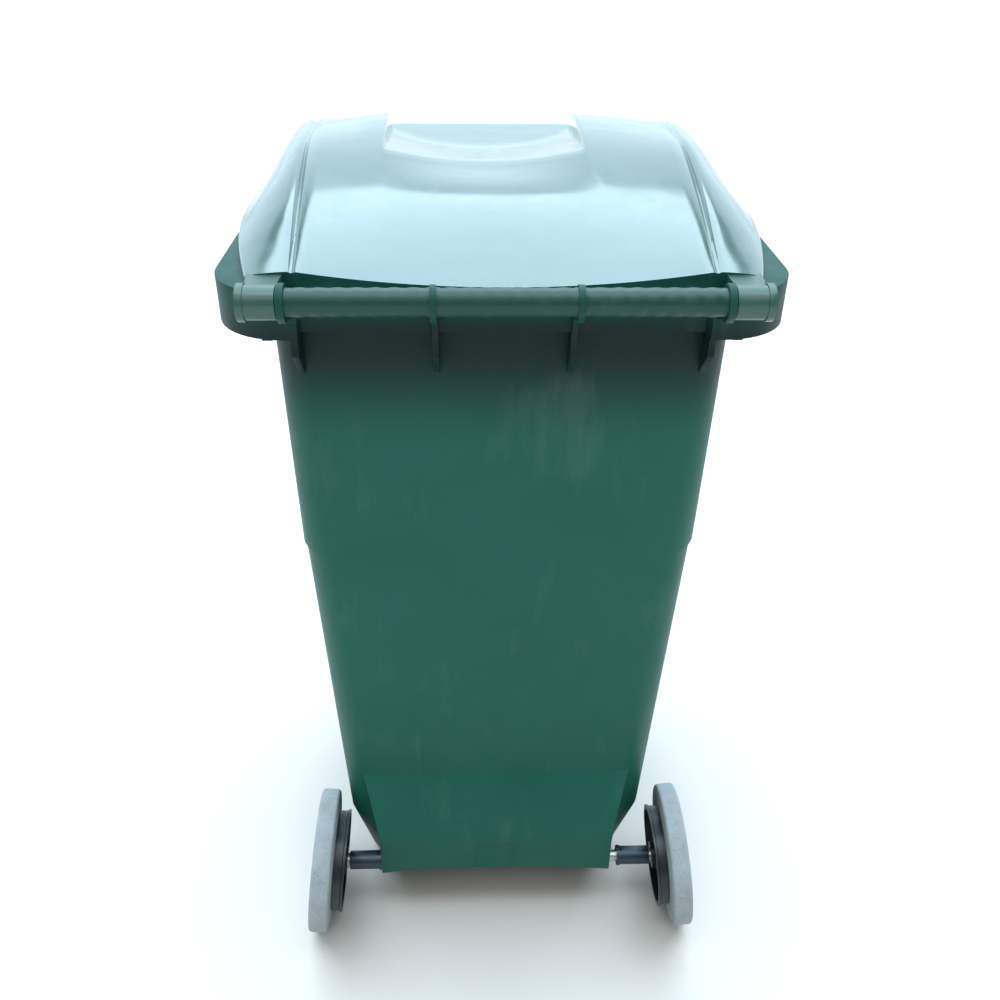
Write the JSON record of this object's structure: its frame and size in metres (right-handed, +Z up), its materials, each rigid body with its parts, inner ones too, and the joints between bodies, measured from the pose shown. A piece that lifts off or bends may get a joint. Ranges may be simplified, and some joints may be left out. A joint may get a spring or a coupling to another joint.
{
  "type": "wheelie bin",
  "caption": "Tall green plastic wheelie bin with a domed hinged lid, a pull handle bar and cambered wheels on a steel axle.",
  "frame": {"origin": "on the ground, at the middle of the box's plan", "axes": "+Z up, +X to the left of somebody behind the bin who holds the handle, +Y from the lid's front lip towards the handle and wheels"},
  "size_m": [0.58, 0.72, 1.06],
  "materials": {
    "body_plastic": "injection moulded polyethylene, fine satin grain, lightly scuffed and dusty",
    "lid_plastic": "injection moulded polyethylene with a glossy polished face",
    "handle_plastic": "moulded polyethylene tube worn smooth by hands",
    "pin_plastic": "moulded nylon pin",
    "axle_steel": "zinc-plated drawn steel bar",
    "sleeve_plastic": "dark moulded polyethylene tube",
    "hub_plastic": "near-black moulded polypropylene",
    "tyre_rubber": "solid rubber with a dry layer of pale dust",
    "lock_steel": "plated steel lock pin and spring wire"
  },
  "bodies": {
    "tub": {"body": "body_plastic", "handle_bar": "handle_plastic", "hinge_pin_left": "pin_plastic", "hinge_pin_right": "pin_plastic"},
    "lid": {"lid": "lid_plastic"},
    "axle": {"axle": "axle_steel", "axle_sleeve_left": "sleeve_plastic", "axle_sleeve_right": "sleeve_plastic"},
    "wheel_left": {"hub_left": "hub_plastic", "tyre_left": "tyre_rubber", "lock_spring_left": "lock_steel", "lock_plug_left": "hub_plastic"},
    "wheel_right": {"hub_right": "hub_plastic", "tyre_right": "tyre_rubber", "lock_spring_right": "lock_steel", "lock_plug_right": "hub_plastic"},
    "lock_pin_left": {"lock_pin_left": "lock_steel"},
    "lock_pin_right": {"lock_pin_right": "lock_steel"}
  },
  "joints": [
    {"name": "lid_hinge", "type": "hinge", "parent": "tub", "child": "lid", "pos_m": [0, 0.342, 0.999], "axis": [-1, 0, 0], "range_deg": [0, 270]},
    {"name": "axle_side_play", "type": "slide", "parent": "tub", "child": "axle", "axis": [1, 0, 0], "range_m": [0, 0.012]},
    {"name": "wheel_left_spin", "type": "hinge", "parent": "axle", "child": "wheel_left", "pos_m": [0.252, 0.2505, 0.10039], "axis": [0.9945, 0, 0.1045], "continuous": true},
    {"name": "lock_left_slide", "type": "slide", "parent": "wheel_left", "child": "lock_pin_left", "axis": [-0.1045, 0, 0.9945], "range_m": [0, 0.003], "stiffness_N_per_m": 500, "springref_m": -0.002, "deforming": ["lock_spring_left"]},
    {"name": "wheel_right_spin", "type": "hinge", "parent": "axle", "child": "wheel_right", "pos_m": [-0.264, 0.2505, 0.10039], "axis": [-0.9945, 0, 0.1045], "continuous": true},
    {"name": "lock_right_slide", "type": "slide", "parent": "wheel_right", "child": "lock_pin_right", "axis": [0.1045, 0, 0.9945], "range_m": [0, 0.003], "stiffness_N_per_m": 500, "springref_m": -0.002, "deforming": ["lock_spring_right"]}
  ]
}
